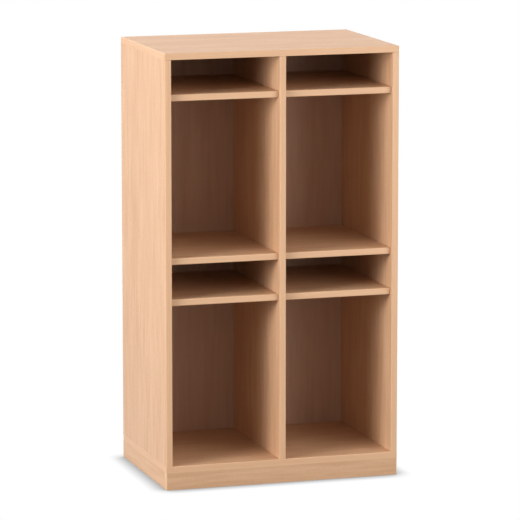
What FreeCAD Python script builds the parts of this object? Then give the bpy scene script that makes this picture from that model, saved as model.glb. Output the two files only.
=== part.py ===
"""School bag rack: two columns of bag bays, each bag bay under a low bay for books.

The case is melamine-faced 19 mm board with rounded plastic edging, dowelled and glued, on a plinth.
Six loose shelves lie on plug-in supports, and four levelling feet are wound up into the plinth.

Frame: millimetres, origin on the floor under the middle of the rack, +Z up, the open front faces -Y.
Boards are drawn from one datum corner: X from the left side, Y from the front, Z from the floor.
"""

import FreeCAD
import Part
import Sketcher

import math
import os
import re

# Driving dimensions: sheet alias, value in millimetres (or a count), meaning.
SIZES = [
    ("width", 700, "overall width"),
    ("depth", 470, "overall depth"),
    ("height", 1260, "overall height"),
    ("board", 19, "thickness of every case board, shelf and plinth board"),
    ("edging", 3, "thickness of the plastic edging"),
    ("edging_round", 2.5, "radius on the free outer edges of the edging"),
    ("plinth_height", 50, "height of the plinth under the bottom panel"),
    ("plinth_back_inset", 60, "plinth back board, in from the rear, clear of a skirting board"),
    ("book_bay_height", 100, "clear height of the low bays"),
    ("upper_bag_bay_height", 450, "clear height of the upper bag bays"),
    ("shelf_setback", 13, "shelf front edges behind the front of the case"),
    ("shelf_end_gap", 1, "play at each end of a shelf"),
    ("shelf_rear_gap", 1, "play behind a shelf"),
    ("back_board", 8, "thickness of the back panel"),
    ("back_inset", 7, "rear face of the back panel in from the rear of the case"),
    ("groove_depth", 8, "depth of the groove that holds the back panel"),
    ("groove_play", 0.2, "play on each face of the back panel in its groove"),
    ("groove_end_play", 0.5, "play between the back panel's edges and the groove floor"),
    ("dowel_diameter", 8, "wooden dowels"),
    ("dowel_length", 35, "wooden dowels"),
    ("dowel_chamfer", 1, "chamfer on the dowel ends"),
    ("dowel_face_depth", 12, "dowel length held in the face of a board"),
    ("dowel_play", 0.1, "glue gap round a dowel"),
    ("dowel_end_play", 0.5, "glue gap at each end of a dowel"),
    ("dowel_edge", 45, "first and last dowel of a row from the front and the back panel"),
    ("dowel_count", 5, "dowels in each row between case boards"),
    ("plinth_dowel_edge", 110, "first and last upright plinth dowel from the sides"),
    ("plinth_dowel_count", 4, "upright dowels along the plinth front and back"),
    ("plinth_dowel_height", 15, "lying plinth dowels from the floor and from the bottom panel"),
    ("support_pin", 5, "diameter of a shelf support's pin"),
    ("support_pin_depth", 8.5, "length of the pin in the panel"),
    ("support_pin_play", 0.05, "play round the pin and at its end"),
    ("support_reach", 12, "length of the tongue under the shelf"),
    ("support_width", 13, "width of the tongue"),
    ("support_thickness", 2.5, "thickness of the tongue"),
    ("support_round", 4, "radius on the tongue's free corners"),
    ("support_edge", 40, "supports from the front and rear edges of a shelf"),
    ("screw_diameter", 3.5, "screws through the back panel"),
    ("screw_head", 7, "diameter of the countersunk screw head"),
    ("screw_length", 30, "screws through the back panel"),
    ("screw_play", 0.1, "play round a screw"),
    ("screw_edge", 120, "first and last screw from the ends of the divider"),
    ("screw_count", 5, "screws into the divider"),
    ("block_side", 45, "side of a corner block"),
    ("block_clearance", 6.7, "underside of a corner block above the stud's hexagon"),
    ("insert_length", 15, "threaded insert, without its flange"),
    ("insert_diameter", 12, "threaded insert"),
    ("insert_flange", 17, "diameter of the insert's flange"),
    ("insert_flange_thickness", 1.2, "thickness of the insert's flange"),
    ("insert_play", 0.05, "play round the insert in its block"),
    ("stud_diameter", 8, "threaded stud of a levelling foot"),
    ("stud_clearance", 6.5, "upper end of the stud below the bottom panel"),
    ("stud_chamfer", 1, "chamfer on the stud's upper end"),
    ("stud_play", 0.05, "running play round the stud"),
    ("nut_across", 13, "width across flats of the stud's hexagon"),
    ("nut_height", 5.5, "height of the stud's hexagon"),
    ("nut_play", 0.3, "play between the hexagon and the foot"),
    ("foot_diameter", 32, "pad of a levelling foot"),
    ("foot_rim", 3, "height of the pad's rim"),
    ("foot_hub", 18, "diameter of the pad's hub"),
    ("foot_height", 7.5, "height of the pad"),
    ("foot_socket", 5, "depth of the stud's socket in the pad"),
    ("foot_lift", 1, "foot clear of the floor when wound right up"),
]

# Levels and faces that several pieces share, as expressions in the datum corner's coordinates.
FLOOR = "(plinth_height + board)"
CEILING = "(height - board)"
CASE_HEIGHT = f"({CEILING} - {FLOOR})"
MID_HEIGHT = f"(({CEILING} + {FLOOR}) / 2)"
BACK_FACE = "(depth - back_inset - back_board)"
DIVIDER_LEFT = "((width - board) / 2)"
DIVIDER_RIGHT = "((width + board) / 2)"
RIGHT_INNER = "(width - board)"
BAY_WIDTH = "((width - 3 * board) / 2)"
SHELF_WIDTH = f"({BAY_WIDTH} - 2 * shelf_end_gap)"
SHELF_DEPTH = f"({BACK_FACE} - shelf_setback - shelf_rear_gap)"
UPPER_BOOK_SHELF = f"({CEILING} - book_bay_height - board)"
BAG_SHELF = f"({UPPER_BOOK_SHELF} - upper_bag_bay_height - board)"
LOWER_BOOK_SHELF = f"({BAG_SHELF} - book_bay_height - board)"
PLINTH_BACK = "(depth - plinth_back_inset - board)"
DOWEL_END_DEPTH = "(dowel_length - dowel_face_depth)"
DOWEL_PITCH = f"(({BACK_FACE} - 2 * dowel_edge) / (dowel_count - 1))"
SCREW_PITCH = f"(({CASE_HEIGHT} - 2 * screw_edge) / (screw_count - 1))"

SHELF_LEVELS = {
    "book_shelf_upper": UPPER_BOOK_SHELF,
    "bag_shelf": BAG_SHELF,
    "book_shelf_lower": LOWER_BOOK_SHELF,
}
BAY_LEFTS = {"left": "board", "right": DIVIDER_RIGHT}
SUPPORT_ROWS = ["(shelf_setback + support_edge)", f"({BACK_FACE} - shelf_rear_gap - support_edge)"]

doc = FreeCAD.newDocument("SchoolBagRack")
sheet = doc.addObject("Spreadsheet::Sheet", "Sizes")
for row, (alias, size, meaning) in enumerate(SIZES, start=1):
    sheet.set(f"A{row}", meaning)
    sheet.set(f"B{row}", str(size))
    sheet.setAlias(f"B{row}", alias)
doc.recompute()

nodes = []


def sized(text):
    """The expression with each alias read from the sheet."""
    return re.sub(r"[a-z][a-z_]+", r"Sizes.\g<0>", text)


def value(text):
    """The expression's present value."""
    return float(sheet.evalExpression(sized(text)))


def count(text):
    """The expression's present value as a whole number."""
    return int(round(value(text)))


def bind(item, name, text):
    """Ties a property of a document object to the sheet."""
    item.setExpression(name, sized(text))


def new_body(label, x="-width / 2", y="-depth / 2", z="0"):
    """A body that becomes a node, placed by default at the datum corner."""
    body = doc.addObject("PartDesign::Body", label)
    body.Label = label
    for axis, text in zip("xyz", (x, y, z)):
        bind(body, f"Placement.Base.{axis}", text)
    nodes.append(body)
    return body


def new_sketch(body, name, plane, lift="0"):
    """A sketch on one of the body's origin planes, lifted along the plane's own axis."""
    sketch = body.newObject("Sketcher::SketchObject", name)
    support = next(item for item in body.Origin.OriginFeatures if item.Role == f"{plane}_Plane")
    sketch.AttachmentSupport = (support, [""])
    sketch.MapMode = "FlatFace"
    bind(sketch, "AttachmentOffset.Base.z", f"-({lift})" if plane == "XZ" else lift)
    return sketch


def dimension(sketch, constraint, text):
    """Adds a driving dimension that follows the sheet."""
    index = sketch.addConstraint(constraint)
    sketch.setExpression(f"Constraints[{index}]", sized(text))


def draw_outline(sketch, points):
    """A closed polygon whose corners are dimensioned from the sketch's origin."""
    corners = [FreeCAD.Vector(value(across), value(up), 0) for across, up in points]
    first = sketch.GeometryCount
    lines = range(first, first + len(points))
    for start, end in zip(corners, corners[1:] + corners[:1]):
        sketch.addGeometry(Part.LineSegment(start, end), False)
    for line, following in zip(lines, [*lines[1:], first]):
        sketch.addConstraint(Sketcher.Constraint("Coincident", line, 2, following, 1))
    for line, corner, (across, up) in zip(lines, corners, points):
        dimension(sketch, Sketcher.Constraint("DistanceX", -1, 1, line, 1, corner.x), across)
        dimension(sketch, Sketcher.Constraint("DistanceY", -1, 1, line, 1, corner.y), up)


def draw_rectangle(sketch, left, low, wide, high):
    """A rectangle from its low corner and its size."""
    right = f"{left} + {wide}"
    top = f"{low} + {high}"
    draw_outline(sketch, [(left, low), (right, low), (right, top), (left, top)])


def draw_circles(sketch, spots, diameter):
    """Equal circles with their centres at the spots."""
    for across, up in spots:
        centre = FreeCAD.Vector(value(across), value(up), 0)
        radius = value(diameter) / 2
        circle = sketch.addGeometry(Part.Circle(centre, FreeCAD.Vector(0, 0, 1), radius), False)
        dimension(sketch, Sketcher.Constraint("Diameter", circle, 2 * radius), diameter)
        dimension(sketch, Sketcher.Constraint("DistanceX", -1, 1, circle, 3, centre.x), across)
        dimension(sketch, Sketcher.Constraint("DistanceY", -1, 1, circle, 3, centre.y), up)


def draw_hexagon(sketch, across_flats):
    """A regular hexagon round the sketch's origin, with its corners on a construction circle."""
    across_corners = f"{across_flats} * {2 / math.sqrt(3):.9f}"
    radius = value(across_corners) / 2
    centre = FreeCAD.Vector(0, 0, 0)
    circle = sketch.addGeometry(Part.Circle(centre, FreeCAD.Vector(0, 0, 1), radius), True)
    sketch.addConstraint(Sketcher.Constraint("Coincident", circle, 3, -1, 1))
    dimension(sketch, Sketcher.Constraint("Diameter", circle, 2 * radius), across_corners)
    turns = [math.radians(60 * corner) for corner in range(6)]
    corners = [FreeCAD.Vector(radius * math.cos(turn), radius * math.sin(turn), 0) for turn in turns]
    lines = [
        sketch.addGeometry(Part.LineSegment(start, end), False)
        for start, end in zip(corners, corners[1:] + corners[:1])
    ]
    for line, following in zip(lines, lines[1:] + lines[:1]):
        sketch.addConstraint(Sketcher.Constraint("Coincident", line, 2, following, 1))
        sketch.addConstraint(Sketcher.Constraint("PointOnObject", line, 1, circle))
    for line in lines[1:]:
        sketch.addConstraint(Sketcher.Constraint("Equal", lines[0], line))
    sketch.addConstraint(Sketcher.Constraint("PointOnObject", lines[0], 1, -1))


def pad(body, sketch, length, plane):
    """Pads a sketch towards the plus side of its plane's axis."""
    feature = body.newObject("PartDesign::Pad", f"{sketch.Name}Pad")
    feature.Profile = sketch
    feature.Reversed = plane == "XZ"
    bind(feature, "Length", length)
    doc.recompute()
    return feature


def pocket(body, sketch, depth, plane, to_plus):
    """Cuts a sketch into the body, towards the plus or the minus side of its plane's axis."""
    before = body.Shape.Volume
    feature = body.newObject("PartDesign::Pocket", f"{sketch.Name}Pocket")
    feature.Profile = sketch
    feature.Reversed = to_plus != (plane == "XZ")
    bind(feature, "Length", depth)
    doc.recompute()
    if body.Shape.Volume >= before:
        raise RuntimeError(f"{body.Label}: {sketch.Name} cuts nothing")
    return feature


def revolve(body, sketch, axis="V_Axis"):
    """Turns a sketch once round one of its own axes."""
    feature = body.newObject("PartDesign::Revolution", f"{sketch.Name}Turned")
    feature.Profile = sketch
    feature.ReferenceAxis = (sketch, [axis])
    feature.Angle = 360
    doc.recompute()
    return feature


def round_edges(body, base, radius, wanted):
    """Fillets the edges of the base feature whose middle point and direction are wanted."""
    names = [f"Edge{index}" for index, edge in enumerate(base.Shape.Edges, start=1) if wanted(edge)]
    feature = body.newObject("PartDesign::Fillet", "Rounding")
    feature.Base = (base, names)
    bind(feature, "Radius", radius)
    doc.recompute()
    return feature


def near(number, text):
    """True where a coordinate lies at the expression's value."""
    return abs(number - value(text)) < 1e-4


def middle(edge):
    """The point halfway along an edge."""
    return edge.valueAt((edge.FirstParameter + edge.LastParameter) / 2)


def at_an_end(edge):
    """True for an edge on the rack's left or right face."""
    return near(middle(edge).x, "0") or near(middle(edge).x, "width")


def new_board(label, plane, lift, left, low, wide, high, thickness="board"):
    """A board at the datum corner: a rectangle on its broad face, padded by its thickness."""
    body = new_body(label)
    sketch = new_sketch(body, "Outline", plane, lift)
    draw_rectangle(sketch, left, low, wide, high)
    pad(body, sketch, thickness, plane)
    return body


def drill(body, name, plane, lift, spots, diameter, depth, to_plus):
    """Round holes of one size and depth into one face."""
    sketch = new_sketch(body, name, plane, lift)
    draw_circles(sketch, spots, diameter)
    pocket(body, sketch, depth, plane, to_plus)


def drill_for_dowels(body, name, plane, lift, spots, depth, to_plus):
    """Dowel holes, with the glue gap round the dowel and at its end."""
    hole = "dowel_diameter + 2 * dowel_play"
    drill(body, name, plane, lift, spots, hole, f"{depth} + dowel_end_play", to_plus)


def cut_back_groove(body, plane, lift, left, low, wide, high, to_plus):
    """The groove for one edge of the back panel."""
    sketch = new_sketch(body, "BackGroove", plane, lift)
    draw_rectangle(sketch, left, low, wide, high)
    pocket(body, sketch, "groove_depth", plane, to_plus)


def new_strips(label, plane, lift, rectangles, length, outer):
    """Edging strips in one node, rounded on the edges that the outer test picks."""
    body = new_body(label)
    sketch = new_sketch(body, "Section", plane, lift)
    for rectangle in rectangles:
        draw_rectangle(sketch, *rectangle)
    strips = pad(body, sketch, length, plane)
    round_edges(body, strips, "edging_round", outer)
    return body


def new_dowels(label, plane, sets):
    """A node of dowels: each set has its start along the plane's axis and the dowels' spots."""
    body = new_body(label)
    for number, (start, spots) in enumerate(sets, start=1):
        sketch = new_sketch(body, f"Dowels{number}", plane, start)
        draw_circles(sketch, spots, "dowel_diameter")
        dowels = pad(body, sketch, "dowel_length", plane)
    rims = [
        f"Edge{index}"
        for index, edge in enumerate(dowels.Shape.Edges, start=1)
        if isinstance(edge.Curve, Part.Circle)
    ]
    ends = body.newObject("PartDesign::Chamfer", "Ends")
    ends.Base = (dowels, rims)
    bind(ends, "Size", "dowel_chamfer")
    doc.recompute()
    return body


# Rows of dowel and support places that the mating boards share.
dowel_rows = [f"(dowel_edge + {i} * {DOWEL_PITCH})" for i in range(count("dowel_count"))]
panel_middles = ["board / 2", "width / 2", "width - board / 2"]
case_dowel_spots = [(across, along) for across in panel_middles for along in dowel_rows]
plinth_pitch = "((width - 2 * plinth_dowel_edge) / (plinth_dowel_count - 1))"
plinth_columns = [f"(plinth_dowel_edge + {i} * {plinth_pitch})" for i in range(count("plinth_dowel_count"))]
plinth_sides = ["board / 2", "width - board / 2"]
plinth_side_rows = [f"(dowel_edge + {step} * {DOWEL_PITCH})" for step in (1.5, 2.5)]
plinth_back_middle = f"({PLINTH_BACK} + board / 2)"
plinth_levels = ["plinth_dowel_height", "plinth_height - plinth_dowel_height"]
support_spots = [
    (along, f"({level} - support_pin / 2)") for level in SHELF_LEVELS.values() for along in SUPPORT_ROWS
]
screw_levels = [f"({FLOOR} + screw_edge + {i} * {SCREW_PITCH})" for i in range(count("screw_count"))]


def make_case_boards():
    """Top, bottom, two sides and the divider, with their dowel, groove and support seats."""
    groove_front = f"({BACK_FACE} - groove_play)"
    groove_width = "(back_board + 2 * groove_play)"
    core_depth = "(depth - edging)"
    core_width = "(width - 2 * edging)"

    top = new_board("top_panel", "XY", CEILING, "edging", "edging", core_width, core_depth)
    drill_for_dowels(top, "CaseDowels", "XY", CEILING, case_dowel_spots, "dowel_face_depth", True)
    cut_back_groove(top, "XY", CEILING, "edging", groove_front, core_width, groove_width, True)

    bottom = new_board("bottom_panel", "XY", "plinth_height", "edging", "edging", core_width, core_depth)
    drill_for_dowels(bottom, "CaseDowels", "XY", FLOOR, case_dowel_spots, "dowel_face_depth", False)
    drill_for_dowels(bottom, "PlinthDowels", "XY", "plinth_height", upright_plinth_spots(),
                     "dowel_face_depth", True)
    cut_back_groove(bottom, "XY", FLOOR, "edging", groove_front, core_width, groove_width, False)

    uprights = {
        "side_panel_left": ("0", core_depth, panel_middles[0]),
        "centre_divider": (DIVIDER_LEFT, f"({BACK_FACE} - edging)", panel_middles[1]),
        "side_panel_right": (RIGHT_INNER, core_depth, panel_middles[2]),
    }
    bodies = {}
    for label, (lift, along, mid) in uprights.items():
        body = new_board(label, "YZ", lift, "edging", FLOOR, along, CASE_HEIGHT)
        spots = [(mid, row) for row in dowel_rows]
        drill_for_dowels(body, "LowerDowels", "XY", FLOOR, spots, DOWEL_END_DEPTH, True)
        drill_for_dowels(body, "UpperDowels", "XY", CEILING, spots, DOWEL_END_DEPTH, False)
        bodies[label] = body

    pin_hole = "support_pin + 2 * support_pin_play"
    pin_depth = "support_pin_depth + support_pin_play"
    seats = [
        ("side_panel_left", "SupportsRight", "board", False),
        ("centre_divider", "SupportsLeft", DIVIDER_LEFT, True),
        ("centre_divider", "SupportsRight", DIVIDER_RIGHT, False),
        ("side_panel_right", "SupportsLeft", RIGHT_INNER, True),
    ]
    for label, name, face, to_plus in seats:
        drill(bodies[label], name, "YZ", face, support_spots, pin_hole, pin_depth, to_plus)
    for label, face, to_plus in (("side_panel_left", "board", False), ("side_panel_right", RIGHT_INNER, True)):
        cut_back_groove(bodies[label], "YZ", face, groove_front, FLOOR, groove_width, CASE_HEIGHT, to_plus)
    pilots = [("width / 2", level) for level in screw_levels]
    drill(bodies["centre_divider"], "BackScrews", "XZ", BACK_FACE, pilots,
          "screw_diameter + 2 * screw_play", "screw_length - back_board + screw_play", False)


def upright_plinth_spots():
    """Places of the upright dowels between the plinth and the bottom panel."""
    front_and_back = [(x, y) for y in ("board / 2", plinth_back_middle) for x in plinth_columns]
    sides = [(x, y) for x in plinth_sides for y in plinth_side_rows]
    return front_and_back + sides


def make_back_panel():
    """The thin back panel, held in the groove all round and screwed to the divider."""
    tongue = "(groove_depth - groove_end_play)"
    back = new_board("back_panel", "XZ", BACK_FACE, f"board - {tongue}", f"{FLOOR} - {tongue}",
                     f"width - 2 * board + 2 * {tongue}", f"{CASE_HEIGHT} + 2 * {tongue}", "back_board")
    sketch = new_sketch(back, "BackScrews", "XZ", f"{BACK_FACE} + back_board")
    draw_circles(sketch, [("width / 2", level) for level in screw_levels], "screw_diameter")
    before = back.Shape.Volume
    doc.recompute()
    holes = back.newObject("PartDesign::Hole", "Countersinks")
    holes.Profile = sketch
    holes.ThreadType = "None"
    holes.DepthType = "ThroughAll"
    holes.HoleCutType = "Countersink"
    holes.HoleCutCountersinkAngle = 90
    holes.Reversed = True
    bind(holes, "Diameter", "screw_diameter + 2 * screw_play")
    bind(holes, "HoleCutDiameter", "screw_head + 2 * screw_play")
    doc.recompute()
    if back.Shape.Volume >= before:
        raise RuntimeError("back_panel: the screw holes cut nothing")

    screws = new_body("back_panel_screws", "0", f"{BACK_FACE} + back_board - screw_length - depth / 2",
                      screw_levels[0])
    profile = new_sketch(screws, "Profile", "YZ")
    cone = "(screw_head - screw_diameter) / 2"
    draw_outline(profile, [
        ("0", "0"),
        ("screw_length", "0"),
        ("screw_length", "screw_head / 2"),
        (f"screw_length - {cone}", "screw_diameter / 2"),
        ("screw_diameter", "screw_diameter / 2"),
    ])
    screw = revolve(screws, profile, "H_Axis")
    column = screws.newObject("PartDesign::LinearPattern", "Column")
    column.Originals = [screw]
    column.Direction = (profile, ["V_Axis"])
    bind(column, "Length", f"{CASE_HEIGHT} - 2 * screw_edge")
    bind(column, "Occurrences", "screw_count")
    screws.Tip = column
    doc.recompute()


def make_case_edging():
    """Plastic strips on the visible edges of the case boards, rounded where no other piece meets them."""
    front = [("0", "0", "width", "edging")]
    ends = [
        ("0", "edging", "edging", "(depth - edging)"),
        ("width - edging", "edging", "edging", "(depth - edging)"),
    ]
    new_strips("top_front_edging", "XY", CEILING, front, "board",
               lambda edge: not near(middle(edge).y, "edging"))
    new_strips("bottom_front_edging", "XY", "plinth_height", front, "board",
               lambda edge: not near(middle(edge).y, "edging") and not near(middle(edge).z, "plinth_height"))
    new_strips("top_end_edging", "XY", CEILING, ends, "board",
               lambda edge: near(middle(edge).z, "height") and at_an_end(edge))
    new_strips("bottom_end_edging", "XY", "plinth_height", ends, "board",
               lambda edge: near(middle(edge).y, "depth") and at_an_end(edge))
    fronts = {
        "side_left_edging": "0",
        "divider_edging": DIVIDER_LEFT,
        "side_right_edging": RIGHT_INNER,
    }
    for label, left in fronts.items():
        new_strips(label, "XY", FLOOR, [(left, "0", "board", "edging")], CASE_HEIGHT,
                   lambda edge: near(middle(edge).y, "0") and near(middle(edge).z, MID_HEIGHT))


def make_plinth():
    """The plinth: front over the ends of two sides, an inset back and a rail under the divider."""
    front = new_board("plinth_front", "XZ", "0", "edging", "0", "(width - 2 * edging)", "plinth_height")
    left = new_board("plinth_left", "YZ", "0", "board", "0", "(depth - board)", "plinth_height")
    right = new_board("plinth_right", "YZ", RIGHT_INNER, "board", "0", "(depth - board)", "plinth_height")
    back = new_board("plinth_back", "XZ", PLINTH_BACK, "board", "0", "(width - 2 * board)", "plinth_height")
    rail = new_board("plinth_rail", "YZ", DIVIDER_LEFT, "board", "0", f"({PLINTH_BACK} - board)",
                     "plinth_height")
    ends = [("0", "0", "edging", "board"), ("width - edging", "0", "edging", "board")]
    new_strips("plinth_end_edging", "XY", "0", ends, "plinth_height",
               lambda edge: near(middle(edge).y, "0") and at_an_end(edge))

    for body, mid in ((front, "board / 2"), (back, plinth_back_middle)):
        spots = [(column, mid) for column in plinth_columns]
        drill_for_dowels(body, "UprightDowels", "XY", "plinth_height", spots, DOWEL_END_DEPTH, False)
    for body, mid in zip((left, right), plinth_sides):
        spots = [(mid, row) for row in plinth_side_rows]
        drill_for_dowels(body, "UprightDowels", "XY", "plinth_height", spots, DOWEL_END_DEPTH, False)

    front_spots = [(column, level) for column in panel_middles for level in plinth_levels]
    drill_for_dowels(front, "LyingDowels", "XZ", "board", front_spots, "dowel_face_depth", False)
    for body, mid in zip((left, rail, right), panel_middles):
        spots = [(mid, level) for level in plinth_levels]
        drill_for_dowels(body, "FrontDowels", "XZ", "board", spots, DOWEL_END_DEPTH, True)
    rail_spots = [("width / 2", level) for level in plinth_levels]
    drill_for_dowels(rail, "BackDowels", "XZ", PLINTH_BACK, rail_spots, DOWEL_END_DEPTH, False)
    drill_for_dowels(back, "RailDowels", "XZ", PLINTH_BACK, rail_spots, "dowel_face_depth", True)

    side_spots = [(plinth_back_middle, level) for level in plinth_levels]
    drill_for_dowels(left, "BackDowels", "YZ", "board", side_spots, "dowel_face_depth", False)
    drill_for_dowels(right, "BackDowels", "YZ", RIGHT_INNER, side_spots, "dowel_face_depth", True)
    drill_for_dowels(back, "LeftDowels", "YZ", "board", side_spots, DOWEL_END_DEPTH, True)
    drill_for_dowels(back, "RightDowels", "YZ", RIGHT_INNER, side_spots, DOWEL_END_DEPTH, False)


def make_dowels():
    """Dowels of the case and the plinth, one node for each direction and level."""
    new_dowels("case_dowels_upper", "XY", [(f"{CEILING} - {DOWEL_END_DEPTH}", case_dowel_spots)])
    new_dowels("case_dowels_lower", "XY", [(f"{FLOOR} - dowel_face_depth", case_dowel_spots)])
    new_dowels("plinth_dowels_upright", "XY", [(f"plinth_height - {DOWEL_END_DEPTH}", upright_plinth_spots())])
    lying = [(column, level) for column in panel_middles for level in plinth_levels]
    rail = [("width / 2", level) for level in plinth_levels]
    new_dowels("plinth_dowels_lengthwise", "XZ", [
        ("board - dowel_face_depth", lying),
        (f"{PLINTH_BACK} - {DOWEL_END_DEPTH}", rail),
    ])
    side = [(plinth_back_middle, level) for level in plinth_levels]
    new_dowels("plinth_dowels_crosswise", "YZ", [
        ("board - dowel_face_depth", side),
        (f"{RIGHT_INNER} - {DOWEL_END_DEPTH}", side),
    ])


def make_shelf_supports():
    """Plug-in supports: a pin in the panel carrying a flat tongue with rounded corners."""
    columns = {
        "shelf_supports_left": ("board", True),
        "shelf_supports_divider_left": (DIVIDER_LEFT, False),
        "shelf_supports_divider_right": (DIVIDER_RIGHT, True),
        "shelf_supports_right": (RIGHT_INNER, False),
    }
    for label, (face, to_plus) in columns.items():
        body = new_body(label)
        tongue_start = face if to_plus else f"{face} - support_reach"
        pin_start = f"{face} - support_pin_depth" if to_plus else tongue_start
        tip = f"{face} + support_reach" if to_plus else tongue_start
        tongues = new_sketch(body, "Tongues", "YZ", tongue_start)
        for level in SHELF_LEVELS.values():
            for along in SUPPORT_ROWS:
                draw_rectangle(tongues, f"{along} - support_width / 2", f"{level} - support_thickness",
                               "support_width", "support_thickness")
        flat = pad(body, tongues, "support_reach", "YZ")
        round_edges(body, flat, "support_round",
                    lambda edge: near(middle(edge).x, tip) and near(edge.Length, "support_thickness"))
        pins = new_sketch(body, "Pins", "YZ", pin_start)
        draw_circles(pins, support_spots, "support_pin")
        pad(body, pins, "support_pin_depth + support_reach", "YZ")


def make_shelves():
    """Six loose shelves with an edging strip along the front, lying on the supports."""
    for level_name, level in SHELF_LEVELS.items():
        for side, bay_left in BAY_LEFTS.items():
            place = (f"{bay_left} + shelf_end_gap - width / 2", "shelf_setback - depth / 2", level)
            shelf = new_body(f"{level_name}_{side}", *place)
            outline = new_sketch(shelf, "Outline", "XY")
            draw_rectangle(outline, "0", "edging", SHELF_WIDTH, f"({SHELF_DEPTH} - edging)")
            pad(shelf, outline, "board", "XY")

            strip = new_body(f"{level_name}_{side}_edging", *place)
            section = new_sketch(strip, "Section", "XY")
            draw_rectangle(section, "0", "0", SHELF_WIDTH, "edging")
            bar = pad(strip, section, "board", "XY")
            round_edges(strip, bar, "edging_round",
                        lambda edge: near(middle(edge).y, "0") and near(middle(edge).x, f"{SHELF_WIDTH} / 2"))


def make_levelling_feet():
    """Corner blocks in the plinth, each with a threaded insert and a swivelling foot on a stud."""
    half = "block_side / 2"
    columns = {"left": f"(board + {half})", "right": f"({RIGHT_INNER} - {half})"}
    rows = {"front": f"(board + {half})", "back": f"({PLINTH_BACK} - {half})"}
    block_base = "(foot_lift + foot_height + nut_play + nut_height + block_clearance)"
    block_height = f"(plinth_height - {block_base})"
    stud_base = "(foot_lift + foot_height - foot_socket)"
    stud_length = f"(plinth_height - stud_clearance - {stud_base})"
    for row_name, along in rows.items():
        for column_name, across in columns.items():
            corner = f"{row_name}_{column_name}"
            x = f"{across} - width / 2"
            y = f"{along} - depth / 2"

            block = new_body(f"corner_block_{corner}", f"{x} - {half}", f"{y} - {half}", block_base)
            outline = new_sketch(block, "Outline", "XY")
            draw_rectangle(outline, "0", "0", "block_side", "block_side")
            pad(block, outline, block_height, "XY")
            drill(block, "InsertBore", "XY", "0", [(half, half)], "insert_diameter + 2 * insert_play",
                  block_height, True)

            insert = new_body(f"threaded_insert_{corner}", x, y, f"{block_base} - insert_flange_thickness")
            profile = new_sketch(insert, "Profile", "XZ")
            bore = "stud_diameter / 2 + stud_play"
            top = "insert_flange_thickness + insert_length"
            draw_outline(profile, [
                (bore, "0"),
                ("insert_flange / 2", "0"),
                ("insert_flange / 2", "insert_flange_thickness"),
                ("insert_diameter / 2", "insert_flange_thickness"),
                ("insert_diameter / 2", top),
                (bore, top),
            ])
            revolve(insert, profile)

            foot = new_body(f"foot_pad_{corner}", x, y, "foot_lift")
            profile = new_sketch(foot, "Profile", "XZ")
            socket = "foot_height - foot_socket"
            draw_outline(profile, [
                ("0", "0"),
                ("foot_diameter / 2", "0"),
                ("foot_diameter / 2", "foot_rim"),
                ("foot_hub / 2", "foot_height"),
                (bore, "foot_height"),
                (bore, socket),
                ("0", socket),
            ])
            revolve(foot, profile)

            stud = new_body(f"foot_stud_{corner}", x, y, stud_base)
            profile = new_sketch(stud, "Profile", "XZ")
            draw_outline(profile, [
                ("0", "0"),
                ("stud_diameter / 2", "0"),
                ("stud_diameter / 2", f"{stud_length} - stud_chamfer"),
                ("stud_diameter / 2 - stud_chamfer", stud_length),
                ("0", stud_length),
            ])
            revolve(stud, profile)
            hexagon = new_sketch(stud, "Hexagon", "XY", "foot_socket + nut_play")
            draw_hexagon(hexagon, "nut_across")
            pad(stud, hexagon, "nut_height", "XY")


def check_and_export():
    """Stops on any failed feature or bad shape, then writes one file for each node."""
    doc.recompute()
    for item in doc.Objects:
        if "Invalid" in item.State or "Error" in item.State:
            raise RuntimeError(f"{item.Label} failed: {item.State}")
    for node in nodes:
        if node.Shape.isNull() or not node.Shape.isValid() or not node.Shape.Solids:
            raise RuntimeError(f"{node.Label} has no valid solid")
    os.makedirs("parts", exist_ok=True)
    for node in nodes:
        node.Shape.exportStep(f"parts/{node.Label}.step")
    print(f"{len(nodes)} nodes, {sum(len(node.Shape.Solids) for node in nodes)} solids")


make_case_boards()
make_back_panel()
make_case_edging()
make_plinth()
make_dowels()
make_shelf_supports()
make_shelves()
make_levelling_feet()
check_and_export()
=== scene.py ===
"""Looks for a school bag rack: faced beech boards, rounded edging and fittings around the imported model."""

import math

import bpy
import numpy as np
from bpy.props import FloatProperty, FloatVectorProperty, IntProperty, PointerProperty
from mathutils import Matrix, Vector


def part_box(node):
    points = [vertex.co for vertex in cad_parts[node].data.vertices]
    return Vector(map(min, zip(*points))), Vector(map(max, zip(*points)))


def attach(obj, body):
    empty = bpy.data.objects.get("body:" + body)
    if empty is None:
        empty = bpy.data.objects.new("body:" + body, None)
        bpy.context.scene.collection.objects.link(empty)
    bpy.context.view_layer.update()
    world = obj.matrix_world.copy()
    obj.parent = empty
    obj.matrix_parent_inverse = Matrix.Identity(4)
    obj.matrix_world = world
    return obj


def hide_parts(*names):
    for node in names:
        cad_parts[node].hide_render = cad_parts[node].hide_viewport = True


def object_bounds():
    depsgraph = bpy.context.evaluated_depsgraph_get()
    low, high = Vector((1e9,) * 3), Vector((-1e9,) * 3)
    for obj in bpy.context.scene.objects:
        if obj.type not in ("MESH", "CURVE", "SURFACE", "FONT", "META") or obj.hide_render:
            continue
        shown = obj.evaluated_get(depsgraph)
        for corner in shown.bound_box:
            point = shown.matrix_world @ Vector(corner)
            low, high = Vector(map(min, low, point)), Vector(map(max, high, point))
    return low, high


bl_info = {
    "name": "School Bag Rack",
    "version": (1, 0, 0),
    "blender": (4, 5, 0),
    "location": "3D View > Sidebar > Bag Rack",
    "description": "Dresses the packed school bag rack in beech boards, edging and fittings",
    "category": "Object",
}

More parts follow.
